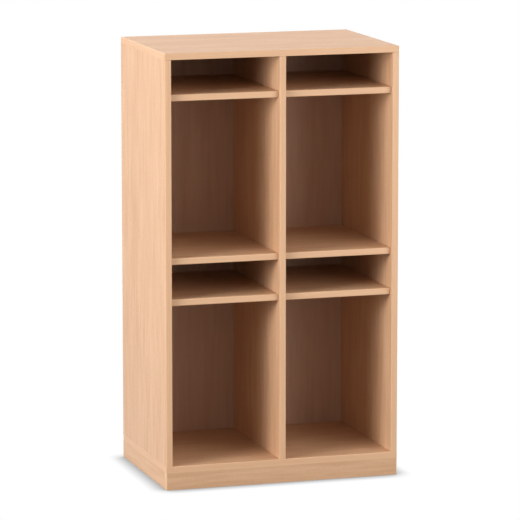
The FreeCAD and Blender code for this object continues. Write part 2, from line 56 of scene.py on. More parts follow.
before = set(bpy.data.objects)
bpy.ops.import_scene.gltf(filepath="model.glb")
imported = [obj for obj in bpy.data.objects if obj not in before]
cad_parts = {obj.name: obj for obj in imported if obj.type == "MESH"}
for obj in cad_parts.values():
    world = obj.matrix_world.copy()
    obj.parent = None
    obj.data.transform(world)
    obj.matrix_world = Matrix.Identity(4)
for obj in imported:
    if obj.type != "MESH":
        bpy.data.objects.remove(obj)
CAD_BOX = [list(corner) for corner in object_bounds()]

CASE = "case"
AXES = ("lengthwise", "depthwise", "upright")
LENGTHWISE, DEPTHWISE, UPRIGHT = range(3)
SIDES = ("left", "right")
SHELF_LEVELS = ("book_shelf_upper", "bag_shelf", "book_shelf_lower")
SHELVES = [f"{level}_{side}" for level in SHELF_LEVELS for side in SIDES]
CORNERS = [f"{row}_{side}" for row in ("front", "back") for side in SIDES]
ON_PLANE = 1e-5

# Which stretch of the grain pattern each board and strip shows, in steps along the pattern.
GRAIN_STEP = (0.37, 0.61, 0.83)
GRAIN_SHIFTS = {
    "top_panel": 101, "bottom_panel": 113,
    "side_panel_left": 41, "side_panel_right": 47, "centre_divider": 68,
    "plinth_front": 78, "plinth_back": 8, "plinth_left": 83, "plinth_right": 10, "plinth_rail": 11,
    "top_front_edging": 20, "top_end_edging": 21, "bottom_front_edging": 22, "bottom_end_edging": 23,
    "side_left_edging": 24, "divider_edging": 25, "side_right_edging": 26, "plinth_end_edging": 27,
    **{shelf: shift for shift, shelf in enumerate(SHELVES, start=12)},
    **{f"{shelf}_edging": shift for shift, shelf in enumerate(SHELVES, start=12)},
}

# Depth of a metric thread as a share of its pitch.
THREAD_DEPTH = 0.5413

# The floor lies just under the rack, is clear to rays shorter than this, and its painted contact shade is
# raised to a power.
FLOOR_DROP = 0.0002
SHORT_RAY = 0.002
CONTACT_POWER = 1.15

# The camera's sensor in millimetres, and how far it sees in metres.
SENSOR_WIDTH = 36
VIEW_REACH = 200

# Each soft light's azimuth and elevation in degrees, its distance and its diameter.
LAMPS = {
    "key": (-66, 14, 4.2, 2.0),
    "key_core": (-72, 14, 4.2, 1.2),
    "fill": (40, 6, 3.2, 2.8),
    "overhead": (40, 68, 3.0, 2.2),
    "rim": (-150, 50, 4.0, 2.0),
    "back": (142, 6, 4.0, 1.6),
}


def linear(red, green, blue):
    """A colour in display values from 0 to 255, as the linear values that shaders take."""
    display = np.array((red, green, blue)) / 255
    light = np.where(display <= 0.04045, display / 12.92, ((display + 0.055) / 1.055) ** 2.4)
    return tuple(float(value) for value in light)


class RackSizes(bpy.types.PropertyGroup):
    """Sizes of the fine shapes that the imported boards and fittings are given."""

    arris: FloatProperty(
        name="Board arris", description="Radius on the edges of the faced boards",
        default=0.0004, unit="LENGTH", precision=4)
    end_arris: FloatProperty(
        name="End arris",
        description="Radius on the ends of sides, divider and shelves, which shows as seams in the bays",
        default=0.0012, unit="LENGTH", precision=4)
    edging_round: FloatProperty(
        name="Edging radius", description="Radius on the outer edges of the edging strips",
        default=0.0025, unit="LENGTH", precision=4)
    edging_seam: FloatProperty(
        name="Edging seam", description="Radius on the edging's inner edges, which shows as a fine seam",
        default=0.0002, unit="LENGTH", precision=4)
    groove_play: FloatProperty(
        name="Groove play", description="Play between the back panel and the walls of its groove",
        default=0.0002, unit="LENGTH", precision=4)
    groove_end_play: FloatProperty(
        name="Groove end play", description="Play between the back panel's edges and the floor of its groove",
        default=0.0005, unit="LENGTH", precision=4)
    support_edge: FloatProperty(
        name="Support inset", description="Shelf supports in from the front and rear edges of a shelf",
        default=0.040, unit="LENGTH", precision=3)
    support_pin: FloatProperty(
        name="Support pin", description="Diameter of a shelf support's pin",
        default=0.005, unit="LENGTH", precision=4)
    support_width: FloatProperty(
        name="Support width", description="Width of the tongue under a shelf",
        default=0.013, unit="LENGTH", precision=4)
    support_thickness: FloatProperty(
        name="Support thickness", description="Thickness of the tongue under a shelf",
        default=0.0025, unit="LENGTH", precision=4)
    support_round: FloatProperty(
        name="Support corner", description="Radius on the free corners of the tongue",
        default=0.004, unit="LENGTH", precision=4)
    screw_head: FloatProperty(
        name="Screw head", description="Diameter of the back panel's screw heads",
        default=0.007, unit="LENGTH", precision=4)
    screw_shank: FloatProperty(
        name="Screw shank", description="Diameter of the back panel's screws",
        default=0.0035, unit="LENGTH", precision=4)
    screw_count: IntProperty(
        name="Screws", description="Screws through the back panel into the divider", default=5)
    thread_pitch: FloatProperty(
        name="Thread pitch", description="Pitch of the thread on the levelling studs",
        default=0.00125, unit="LENGTH", precision=5)
    stud_diameter: FloatProperty(
        name="Stud diameter", description="Diameter over the thread of a levelling stud",
        default=0.008, unit="LENGTH", precision=4)
    hexagon_across: FloatProperty(
        name="Hexagon", description="Width across the flats of a levelling stud's hexagon",
        default=0.013, unit="LENGTH", precision=4)
    pad_ribs: IntProperty(
        name="Pad ribs", description="Ribs round the slope of a levelling pad", default=18)


class RackColours(bpy.types.PropertyGroup):
    """Colours of the boards, the edging and the fittings."""

    beech: FloatVectorProperty(
        name="Beech", description="Ground tone of the beech facing",
        subtype="COLOR", min=0, max=1, default=linear(213, 178, 146))
    beech_streak: FloatVectorProperty(
        name="Beech streak", description="Tone of the darker streaks in the beech facing",
        subtype="COLOR", min=0, max=1, default=linear(196, 156, 122))
    beech_fleck: FloatVectorProperty(
        name="Beech fleck", description="Tone of the short flecks in the beech facing",
        subtype="COLOR", min=0, max=1, default=linear(161, 117, 83))
    back_panel: FloatVectorProperty(
        name="Back panel", description="Ground tone of the back panel's plainer print",
        subtype="COLOR", min=0, max=1, default=linear(202, 174, 155))
    back_streak: FloatVectorProperty(
        name="Back panel streak", description="Tone of the darker streaks in the back panel",
        subtype="COLOR", min=0, max=1, default=linear(186, 152, 130))
    edging: FloatVectorProperty(
        name="Edging", description="Ground tone of the plastic edging",
        subtype="COLOR", min=0, max=1, default=linear(221, 185, 151))
    edging_streak: FloatVectorProperty(
        name="Edging streak", description="Tone of the printed streaks in the edging",
        subtype="COLOR", min=0, max=1, default=linear(208, 168, 133))
    raw_beech: FloatVectorProperty(
        name="Raw beech", description="Ground tone of the dowels and corner blocks",
        subtype="COLOR", min=0, max=1, default=linear(214, 180, 138))
    zinc: FloatVectorProperty(
        name="Zinc", description="Zinc plating on the supports, screws, inserts and studs",
        subtype="COLOR", min=0, max=1, default=linear(196, 198, 198))
    foot_plastic: FloatVectorProperty(
        name="Foot plastic", description="Moulded plastic of the levelling pads",
        subtype="COLOR", min=0, max=1, default=linear(44, 44, 46))


class RackStage(bpy.types.PropertyGroup):
    """Camera, light and floor."""

    azimuth: FloatProperty(
        name="Azimuth", description="Turn of the camera round the rack, from straight in front",
        subtype="ANGLE", default=math.radians(-17.354))
    elevation: FloatProperty(
        name="Elevation", description="Height of the camera above the level of its target",
        subtype="ANGLE", default=math.radians(9.592))
    distance: FloatProperty(
        name="Distance", description="Camera to target", unit="LENGTH", default=10.793)
    target: FloatVectorProperty(
        name="Target", description="Point that the camera looks at",
        subtype="XYZ", unit="LENGTH", default=(0.00336, -0.00308, 0.6163))
    lens: FloatProperty(
        name="Lens", description="Focal length on a sensor 36 mm wide, in millimetres", default=255.0)
    key: FloatProperty(
        name="Key light", description="Brightness of a white surface that faces the key light",
        default=0.605)
    key_core: FloatProperty(
        name="Key light's core", description="Brightness of a white surface that faces the key light's core",
        default=0.367)
    fill: FloatProperty(
        name="Fill light", description="Brightness of a white surface that faces the fill light",
        default=0.671)
    overhead: FloatProperty(
        name="Overhead light", description="Brightness of a white surface that faces the overhead light",
        default=0.24)
    rim: FloatProperty(
        name="Rim light", description="Brightness of a white surface that faces the rim light",
        default=0.518)
    back: FloatProperty(
        name="Back light", description="Brightness of a white surface that faces the back light",
        default=0.75)
    ambient: FloatProperty(
        name="Ambient", description="Strength of the even light from all round", default=0.286)
    light_colour: FloatVectorProperty(
        name="Light colour", description="Warm white of the lamps and of the even light",
        subtype="COLOR", min=0, max=1, default=linear(255, 247, 240))
    contact_reach: FloatProperty(
        name="Contact shadow", description="Reach of the soft shadow where the rack meets the floor",
        unit="LENGTH", default=0.050)
    floor_bounce: FloatProperty(
        name="Floor tone", description="Grey of the floor in the light that it sends back up",
        min=0, max=1, default=0.2)
    floor_size: FloatProperty(
        name="Floor size", description="Side of the square floor", unit="LENGTH", default=120.0)


# Surfaces


def skin(rings):
    """Points, quads and end faces of closed rings joined in order.

    The rings are an array of stations by points round by three. Neighbouring rings are joined by quads. The
    end rings are closed by one flat face each.
    """
    stations, around = rings.shape[:2]
    index = np.arange(stations * around).reshape(stations, around)
    turned = np.roll(index, -1, axis=1)
    quads = np.stack((index[:-1], turned[:-1], turned[1:], index[1:]), axis=-1).reshape(-1, 4)
    return rings.reshape(-1, 3), quads, [index[0, ::-1], index[-1]]


def carried(outline, axis, start, stop):
    """Two rings of a closed outline carried straight along an axis.

    The outline's two coordinates are those of the next two axes in turn, and it runs anticlockwise.
    """
    rings = np.empty((2, len(outline), 3))
    rings[:, :, axis] = np.array((start, stop))[:, None]
    rings[:, :, (axis + 1) % 3] = outline[:, 0]
    rings[:, :, (axis + 2) % 3] = outline[:, 1]
    return rings


def rectangle(low, high):
    """The four corners of an upright rectangle, anticlockwise from the lowest."""
    return np.array(((low[0], low[1]), (high[0], low[1]), (high[0], high[1]), (low[0], high[1])))


def notched(outline, wall, near, far, depth):
    """A rectangle with a square notch in one wall, from near to far along it and as deep as given."""
    start = outline[wall]
    along = outline[(wall + 1) % 4] - start
    along = along / np.linalg.norm(along)
    inward = np.array((-along[1], along[0]))
    steps = np.array(((near, 0), (near, depth), (far, depth), (far, 0)))
    return np.insert(outline, wall + 1, start + steps[:, :1] * along + steps[:, 1:] * inward, axis=0)


def rounded(low, high, radii, arc=6):
    """A rectangle whose corners are quarter circles of their own radii, anticlockwise from the lowest."""
    inward = np.array(((1, 1), (-1, 1), (-1, -1), (1, -1)))
    radii = np.asarray(radii, float)
    centres = rectangle(low, high) + inward * radii[:, None]
    angles = np.radians((180, 270, 0, 90))[:, None] + np.linspace(0, math.pi / 2, arc)
    spokes = np.stack((np.cos(angles), np.sin(angles)), axis=-1)
    return (centres[:, None] + spokes * radii[:, None, None]).reshape(-1, 2)


def box_rings(low, high, axis, notch=None):
    """A box as its outline, perhaps with a notch, carried along an axis."""
    first, second = (axis + 1) % 3, (axis + 2) % 3
    outline = rectangle((low[first], low[second]), (high[first], high[second]))
    if notch:
        outline = notched(outline, *notch)
    return carried(outline, axis, low[axis], high[axis])


def turned_rings(radii, heights, centre, axis, around):
    """Rings turned round an axis: at each station, a radius and a height along the axis.

    A radius may be one number for the whole ring or one for each point round it, and so may a height.
    """
    angles = np.linspace(0, 2 * math.pi, around, endpoint=False)
    radii = np.broadcast_to(np.reshape(radii, (len(heights), -1)), (len(heights), around))
    heights = np.broadcast_to(np.reshape(heights, (len(heights), -1)), (len(heights), around))
    rings = np.empty((len(heights), around, 3))
    rings[:, :, axis] = centre[axis] + heights
    rings[:, :, (axis + 1) % 3] = centre[(axis + 1) % 3] + radii * np.cos(angles)
    rings[:, :, (axis + 2) % 3] = centre[(axis + 2) % 3] + radii * np.sin(angles)
    return rings


# Pieces


def add_piece(name, solids, material, body, node):
    """One object from skinned solids, riding on a body and standing for a CAD node.

    Its grain shift moves the material's pattern, so that no two boards show the same grain.
    """
    starts = np.cumsum([0] + [len(points) for points, _, _ in solids])
    points = np.concatenate([points for points, _, _ in solids])
    quads = np.concatenate([rows + start for start, (_, rows, _) in zip(starts, solids)])
    ends = [end + start for start, (_, _, caps) in zip(starts, solids) for end in caps]
    corners = np.concatenate([quads.ravel(), *ends])
    totals = np.array([4] * len(quads) + [len(end) for end in ends])

    mesh = bpy.data.meshes.new(name)
    mesh.vertices.add(len(points))
    mesh.vertices.foreach_set("co", points.ravel())
    mesh.loops.add(len(corners))
    mesh.loops.foreach_set("vertex_index", corners)
    mesh.polygons.add(len(totals))
    mesh.polygons.foreach_set("loop_start", np.cumsum(totals) - totals)
    mesh.polygons.foreach_set("use_smooth", np.ones(len(totals), bool))
    mesh.update(calc_edges=True)
    if mesh.validate():
        raise RuntimeError(f"{name} has faces that had to be mended")
    shift = np.multiply(GRAIN_STEP, GRAIN_SHIFTS.get(node, 0))
    mesh.attributes.new("grain_shift", "FLOAT_VECTOR", "POINT").data.foreach_set(
        "vector", np.tile(shift, len(points)))
    mesh.materials.append(material)

    piece = bpy.data.objects.new(name, mesh)
    bpy.context.scene.collection.objects.link(piece)
    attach(piece, body)
    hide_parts(node)
    return piece


def round_all(piece, radius, segments=2):
    """Rounds every sharp edge of a piece by one radius."""
    bevel = piece.modifiers.new("Arrises", "BEVEL")
    bevel.width = radius
    bevel.segments = segments
    bevel.limit_method = "ANGLE"
    bevel.angle_limit = math.radians(40)
    bevel.harden_normals = True


def round_some(piece, radius, seam, outer, segments=5):
    """Rounds the edges whose middles pass the outer test, and breaks the others by the seam radius."""
    mesh = piece.data
    ends = np.empty(2 * len(mesh.edges), int)
    mesh.edges.foreach_get("vertices", ends)
    points = np.empty(3 * len(mesh.vertices))
    mesh.vertices.foreach_get("co", points)
    middles = points.reshape(-1, 3)[ends.reshape(-1, 2)].mean(axis=1)
    weights = mesh.attributes.new("bevel_weight_edge", "FLOAT", "EDGE")
    weights.data.foreach_set("value", np.where(outer(middles), 1.0, seam / radius))
    bevel = piece.modifiers.new("Round", "BEVEL")
    bevel.width = radius
    bevel.segments = segments
    bevel.limit_method = "WEIGHT"
    bevel.harden_normals = True


def on_any(values, *levels):
    """True where a value lies on one of the levels."""
    return np.any([np.abs(values - level) < ON_PLANE for level in levels], axis=0)


def crease_sharp(piece, degrees=32):
    """Keeps edges sharper than an angle as edges, and lets the rest shade smoothly."""
    piece.data.set_sharp_from_angle(angle=math.radians(degrees))


# Materials


def add_node(tree, kind, inputs=None, **settings):
    """Adds a shader node. Inputs are sockets, which are linked, or plain values, which are set."""
    node = tree.nodes.new(kind)
    for name, value in settings.items():
        setattr(node, name, value)
    for name, value in (inputs or {}).items():
        if isinstance(value, bpy.types.NodeSocket):
            tree.links.new(value, node.inputs[name])
        else:
            node.inputs[name].default_value = value
    return node


def new_tree(name):
    """A new material with an empty node tree."""
    material = bpy.data.materials.new(name)
    material.use_nodes = True
    material.node_tree.nodes.clear()
    return material, material.node_tree


def opaque(colour):
    """A colour with full alpha."""
    return (*colour, 1.0)


def board_place(tree):
    """The point on the piece, moved by its own shift."""
    place = add_node(tree, "ShaderNodeTexCoord").outputs["Object"]
    shift = add_node(tree, "ShaderNodeAttribute", attribute_name="grain_shift").outputs["Vector"]
    return add_node(tree, "ShaderNodeVectorMath", {0: place, 1: shift}, operation="ADD").outputs["Vector"]


def grain_noise(tree, place, axis, across, along, detail=2.0, distortion=0.0):
    """Noise drawn out along the grain: features about so wide across it and so long along it, in metres."""
    scale = [1 / across] * 3
    scale[axis] = 1 / along
    stretched = add_node(tree, "ShaderNodeMapping", {"Vector": place, "Scale": scale}).outputs["Vector"]
    noise = add_node(tree, "ShaderNodeTexNoise", {
        "Vector": stretched, "Scale": 1.0, "Detail": detail, "Distortion": distortion})
    return noise.outputs[0]


def weighed(tree, layers, middle=0.5):
    """The sum of noise layers, each spread about the middle by its weight."""
    total = middle - sum(weight for _, weight in layers) / 2
    for layer, weight in layers:
        total = add_node(tree, "ShaderNodeMath", {0: layer, 1: weight, 2: total},
                         operation="MULTIPLY_ADD").outputs[0]
    return total


def ranged(tree, value, low, high, to_low=0.0, to_high=1.0):
    """A value taken smoothly from one range to another."""
    return add_node(tree, "ShaderNodeMapRange", {
        "Value": value, "From Min": low, "From Max": high, "To Min": to_low, "To Max": to_high},
        interpolation_type="SMOOTHSTEP").outputs[0]


def mixed(tree, factor, first, second):
    """Two colours mixed by a factor."""
    return add_node(tree, "ShaderNodeMix", {0: factor, 6: first, 7: second}, data_type="RGBA").outputs[2]


def surfaced(tree, colour, roughness, height, depth, **constants):
    """A principled surface: colour, roughness and relief from nodes, and the rest set on its sockets."""
    relief = add_node(tree, "ShaderNodeBump", {"Height": height, "Distance": depth, "Strength": 0.5})
    shader = add_node(tree, "ShaderNodeBsdfPrincipled", {
        "Base Color": colour, "Roughness": roughness, "Normal": relief.outputs[0]})
    for name, value in constants.items():
        shader.inputs[name.replace("_", " ")].default_value = value
    add_node(tree, "ShaderNodeOutputMaterial", {"Surface": shader.outputs[0]})


def beech_print(name, axis, ground, streak, fleck, strength=1.0):
    """Beech print on a satin facing: broad figure, streaks, fine lines and short flecks along the grain."""
    material, tree = new_tree(f"{name}_{AXES[axis]}")
    place = board_place(tree)
    figure = grain_noise(tree, place, axis, 0.060, 0.50, detail=1.0, distortion=0.6)
    streaks = grain_noise(tree, place, axis, 0.013, 0.17, detail=2.0, distortion=0.3)
    lines = grain_noise(tree, place, axis, 0.0030, 0.10, detail=2.0)
    flecks = grain_noise(tree, place, axis, 0.0011, 0.009, detail=1.0)
    tone = weighed(tree, ((figure, 1.15 * strength), (streaks, 1.6 * strength), (lines, 0.85 * strength)),
                   middle=0.45)
    colour = mixed(tree, tone, opaque(ground), opaque(streak))
    flecked = ranged(tree, flecks, 0.60, 0.70, 0.0, 0.35 * strength)
    colour = mixed(tree, flecked, colour, opaque(fleck))
    roughness = ranged(tree, flecks, 0.55, 0.72, 0.42, 0.56)
    height = ranged(tree, flecks, 0.58, 0.72, 1.0, 0.0)
    surfaced(tree, colour, roughness, height, 0.00006, Specular_IOR_Level=0.3)
    return material


def beech_facing(axis, colours):
    """The beech print of the boards."""
    return beech_print("beech", axis, colours.beech, colours.beech_streak, colours.beech_fleck)


def plain_beech(axis, colours):
    """The plainer beech print of the thin back panel."""
    return beech_print("plain_beech", axis, colours.back_panel, colours.back_streak, colours.beech_fleck,
                       strength=0.6)


def edging_print(axis, colours, name="edging", middle=0.4):
    """Plastic edging with a finer beech print along the strip."""
    material, tree = new_tree(f"{name}_{AXES[axis]}")
    place = board_place(tree)
    streaks = grain_noise(tree, place, axis, 0.006, 0.30, detail=3.0)
    lines = grain_noise(tree, place, axis, 0.0015, 0.07, detail=2.0)
    tone = weighed(tree, ((streaks, 1.0), (lines, 0.7)), middle)
    colour = mixed(tree, tone, opaque(colours.edging), opaque(colours.edging_streak))
    roughness = ranged(tree, lines, 0.35, 0.65, 0.34, 0.44)
    surfaced(tree, colour, roughness, lines, 0.00003, Specular_IOR_Level=0.35)
    return material


def end_edging(axis, colours):
    """The edging on the ends of the top and bottom, nearer in tone to the boards."""
    return edging_print(axis, colours, "end_edging", middle=0.8)


def raw_beech(axis, colours):
    """Planed, unfinished beech for the dowels and blocks."""
    material, tree = new_tree(f"raw_beech_{AXES[axis]}")
    place = add_node(tree, "ShaderNodeTexCoord").outputs["Object"]
    streaks = grain_noise(tree, place, axis, 0.004, 0.05, detail=3.0)
    flecks = grain_noise(tree, place, axis, 0.0009, 0.005, detail=1.0)
    ground = mixed(tree, weighed(tree, ((streaks, 1.2),)), opaque(colours.raw_beech),
                   opaque(colours.beech_streak))
    colour = mixed(tree, ranged(tree, flecks, 0.58, 0.70, 0.0, 0.4), ground, opaque(colours.beech_fleck))
    surfaced(tree, colour, ranged(tree, flecks, 0.4, 0.7, 0.62, 0.78), streaks, 0.0001)
    return material


def zinc_plate(colours):
    """Bright zinc plating with a faint mottle and fine rubbed marks."""
    material, tree = new_tree("zinc_plate")
    place = add_node(tree, "ShaderNodeTexCoord").outputs["Object"]
    mottle = grain_noise(tree, place, UPRIGHT, 0.003, 0.003, detail=3.0)
    marks = grain_noise(tree, place, UPRIGHT, 0.0002, 0.004, detail=1.0)
    duller = tuple(0.8 * value for value in colours.zinc)
    colour = mixed(tree, ranged(tree, mottle, 0.35, 0.7), opaque(colours.zinc), opaque(duller))
    roughness = ranged(tree, marks, 0.3, 0.7, 0.24, 0.42)
    surfaced(tree, colour, roughness, marks, 0.00001, Metallic=1.0)
    return material


def moulded_plastic(colours):
    """Dark moulded plastic with a fine spark-eroded texture."""
    material, tree = new_tree("moulded_plastic")
    place = add_node(tree, "ShaderNodeTexCoord").outputs["Object"]
    texture = grain_noise(tree, place, UPRIGHT, 0.0005, 0.0005, detail=2.0)
    cloud = grain_noise(tree, place, UPRIGHT, 0.012, 0.012, detail=2.0)
    paler = tuple(1.5 * value for value in colours.foot_plastic)
    colour = mixed(tree, cloud, opaque(colours.foot_plastic), opaque(paler))
    surfaced(tree, colour, ranged(tree, texture, 0.3, 0.7, 0.48, 0.62), texture, 0.00005)
    return material


FINISHES = {
    "beech": beech_facing,
    "plain_beech": plain_beech,
    "edging": edging_print,
    "end_edging": end_edging,
    "raw_beech": raw_beech,
    "zinc_plate": zinc_plate,
    "moulded_plastic": moulded_plastic,
}


def finish(kind, context, axis=None):
    """The material of a kind, made on its first use, with its grain along an axis where it has one."""
    name = kind if axis is None else f"{kind}_{AXES[axis]}"
    if name in bpy.data.materials:
        return bpy.data.materials[name]
    colours = context.scene.rack_colours
    return FINISHES[kind](colours) if axis is None else FINISHES[kind](axis, colours)


def dress_node(node, material):
    """Gives a CAD node that stays in view its material."""
    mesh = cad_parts[node].data
    mesh.materials.clear()
    mesh.materials.append(material)


# Operators


def add_board(context, node, axis, body, notch=None, seams=()):
    """A faced board in a node's place, with its grain along an axis and perhaps a notch for the back panel.

    The seams are the faces, each by its place along the width, whose end edges get the wider arris.
    """
    low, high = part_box(node)
    solids = [skin(box_rings(low, high, axis, notch))]
    piece = add_piece(f"faced_{node}", solids, finish("beech", context, axis), body, node)
    sizes = context.scene.rack_sizes
    if seams:
        round_some(piece, sizes.end_arris, sizes.arris, lambda middles: on_any(middles[:, 0], *seams)
                   & on_any(middles[:, 2], low.z, high.z), segments=3)
    else:
        round_all(piece, sizes.arris)


def add_strips(context, node, boxes, axis, body, outer, kind="edging"):
    """Edging strips in a node's place, rounded on the edges that the outer test picks."""
    sizes = context.scene.rack_sizes
    solids = [skin(box_rings(low, high, axis)) for low, high in boxes]
    piece = add_piece(f"strip_{node}", solids, finish(kind, context, axis), body, node)
    round_some(piece, sizes.edging_round, sizes.edging_seam, outer)


class BAGRACK_OT_case_boards(bpy.types.Operator):
    """Make the top, bottom, sides and divider, with the groove that holds the back panel"""

    bl_idname = "bag_rack.case_boards"
    bl_label = "Case Boards"

    def execute(self, context):
        sizes = context.scene.rack_sizes
        panel_low, panel_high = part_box("back_panel")
        top_low, top_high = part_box("top_panel")
        near = panel_low.y - sizes.groove_play - top_low.y
        far = panel_high.y + sizes.groove_play - top_low.y
        depth = panel_high.z - top_low.z + sizes.groove_end_play
        whole = top_high.y - top_low.y
        add_board(context, "top_panel", LENGTHWISE, CASE, (0, near, far, depth))
        add_board(context, "bottom_panel", LENGTHWISE, CASE, (2, whole - far, whole - near, depth))
        add_board(context, "side_panel_left", UPRIGHT, CASE, (1, near, far, depth),
                  [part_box("side_panel_left")[1].x])
        add_board(context, "side_panel_right", UPRIGHT, CASE, (3, whole - far, whole - near, depth),
                  [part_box("side_panel_right")[0].x])
        add_board(context, "centre_divider", UPRIGHT, CASE,
                  seams=[corner.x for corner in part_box("centre_divider")])
        return {"FINISHED"}


class BAGRACK_OT_back_panel(bpy.types.Operator):
    """Dress the back panel and make the cross-recessed countersunk screws that hold it to the divider"""

    bl_idname = "bag_rack.back_panel"
    bl_label = "Back Panel"

    def execute(self, context):
        sizes = context.scene.rack_sizes
        dress_node("back_panel", finish("plain_beech", context, UPRIGHT))
        low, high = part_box("back_panel_screws")
        head = sizes.screw_head / 2
        levels = np.linspace(low.z + head, high.z - head, sizes.screw_count)
        middle = (low.x + high.x) / 2
        screws = [skin(self.screw_rings((middle, low.y, level), high.y - low.y, sizes)) for level in levels]
        piece = add_piece("cross_head_screws", screws, finish("zinc_plate", context), CASE,
                          "back_panel_screws")
        crease_sharp(piece)
        return {"FINISHED"}

    @staticmethod
    def screw_rings(tip, length, sizes, around=48):
        """A screw turned along the depth: point, shank, cone, flat head and a cross recess let into it.

        The recess is the cross r = min(arm, half width / sine of the angle off the nearest arm), which
        shrinks towards its floor.
        """
        head, shank = sizes.screw_head / 2, sizes.screw_shank / 2
        angles = np.linspace(0, 2 * math.pi, around, endpoint=False)
        off_arm = np.abs((angles + math.pi / 4) % (math.pi / 2) - math.pi / 4)
        cross = np.minimum(0.62 * head, 0.16 * head / np.maximum(np.sin(off_arm), 1e-6))
        even = np.ones(around)
        rim = 0.0002
        cone_foot = length - (head - shank) - rim
        stations = (
            (0.1 * shank, 0), (0.7 * shank, 2 * shank), (shank, 4 * shank), (shank, cone_foot),
            (0.96 * head, length - 1.5 * rim), (head, length - rim), (0.97 * head, length),
            (cross, length - 0.1 * rim), (0.55 * cross, length - 0.4 * head),
        )
        radii = np.stack([radius * even for radius, _ in stations])
        heights = np.array([height for _, height in stations])
        return turned_rings(radii, heights, tip, DEPTHWISE, around)


class BAGRACK_OT_plinth(bpy.types.Operator):
    """Make the plinth boards and dress the corner blocks and all dowels"""

    bl_idname = "bag_rack.plinth"
    bl_label = "Plinth and Dowels"

    def execute(self, context):
        boards = {"plinth_front": LENGTHWISE, "plinth_back": LENGTHWISE, "plinth_left": DEPTHWISE,
                  "plinth_right": DEPTHWISE, "plinth_rail": DEPTHWISE}
        for node, axis in boards.items():
            add_board(context, node, axis, CASE)
        for corner in CORNERS:
            dress_node(f"corner_block_{corner}", finish("raw_beech", context, UPRIGHT))
        dowels = {"case_dowels_upper": UPRIGHT, "case_dowels_lower": UPRIGHT,
                  "plinth_dowels_upright": UPRIGHT, "plinth_dowels_lengthwise": DEPTHWISE,
                  "plinth_dowels_crosswise": LENGTHWISE}
        for node, axis in dowels.items():
            dress_node(node, finish("raw_beech", context, axis))
        return {"FINISHED"}


class BAGRACK_OT_shelves(bpy.types.Operator):
    """Make the six loose shelves, each with its edging strip"""

    bl_idname = "bag_rack.shelves"
    bl_label = "Shelves"

    def execute(self, context):
        for shelf in SHELVES:
            add_board(context, shelf, LENGTHWISE, shelf, seams=[corner.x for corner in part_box(shelf)])
            low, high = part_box(f"{shelf}_edging")
            halfway = (low.x + high.x) / 2
            add_strips(context, f"{shelf}_edging", [(low, high)], LENGTHWISE, shelf,
                       lambda middles: on_any(middles[:, 1], low.y) & on_any(middles[:, 0], halfway))
        return {"FINISHED"}


class BAGRACK_OT_edging(bpy.types.Operator):
    """Make the rounded edging on the case and the plinth"""

    bl_idname = "bag_rack.edging"
    bl_label = "Edging"

    def execute(self, context):
        low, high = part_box("top_front_edging")
        thickness = high.y - low.y
        front, side, top = low.y, high.x, high.z
        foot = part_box("bottom_front_edging")[0].z
        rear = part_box("top_end_edging")[1].y
        upright_low, upright_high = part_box("divider_edging")
        halfway = (upright_low.z + upright_high.z) / 2

        def on_front(middles):
            return on_any(middles[:, 1], front)

        def on_sides(middles):
            return on_any(middles[:, 0], -side, side)

        def at_height(middles, level):
            return on_any(middles[:, 2], level)

        node = "top_front_edging"
        add_strips(context, node, [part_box(node)], LENGTHWISE, CASE,
                   lambda middles: on_front(middles) | on_sides(middles))
        node = "top_end_edging"
        add_strips(context, node, self.pair(node, thickness), DEPTHWISE, CASE,
                   lambda middles: on_sides(middles) & at_height(middles, top), "end_edging")
        node = "bottom_front_edging"
        add_strips(context, node, [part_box(node)], LENGTHWISE, CASE,
                   lambda middles: (on_front(middles) | on_sides(middles)) & ~at_height(middles, foot))
        node = "bottom_end_edging"
        add_strips(context, node, self.pair(node, thickness), DEPTHWISE, CASE,
                   lambda middles: on_sides(middles) & on_any(middles[:, 1], rear), "end_edging")
        for node in ("side_left_edging", "divider_edging", "side_right_edging"):
            add_strips(context, node, [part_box(node)], UPRIGHT, CASE,
                       lambda middles: on_front(middles) & at_height(middles, halfway))
        node = "plinth_end_edging"
        add_strips(context, node, self.pair(node, thickness), UPRIGHT, CASE,
                   lambda middles: on_front(middles) & on_sides(middles))
        return {"FINISHED"}

    @staticmethod
    def pair(node, thickness):
        """The boxes of the two strips at the left and right ends of a node."""
        low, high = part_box(node)
        return [(low, Vector((low.x + thickness, high.y, high.z))),
                (Vector((high.x - thickness, low.y, low.z)), high)]


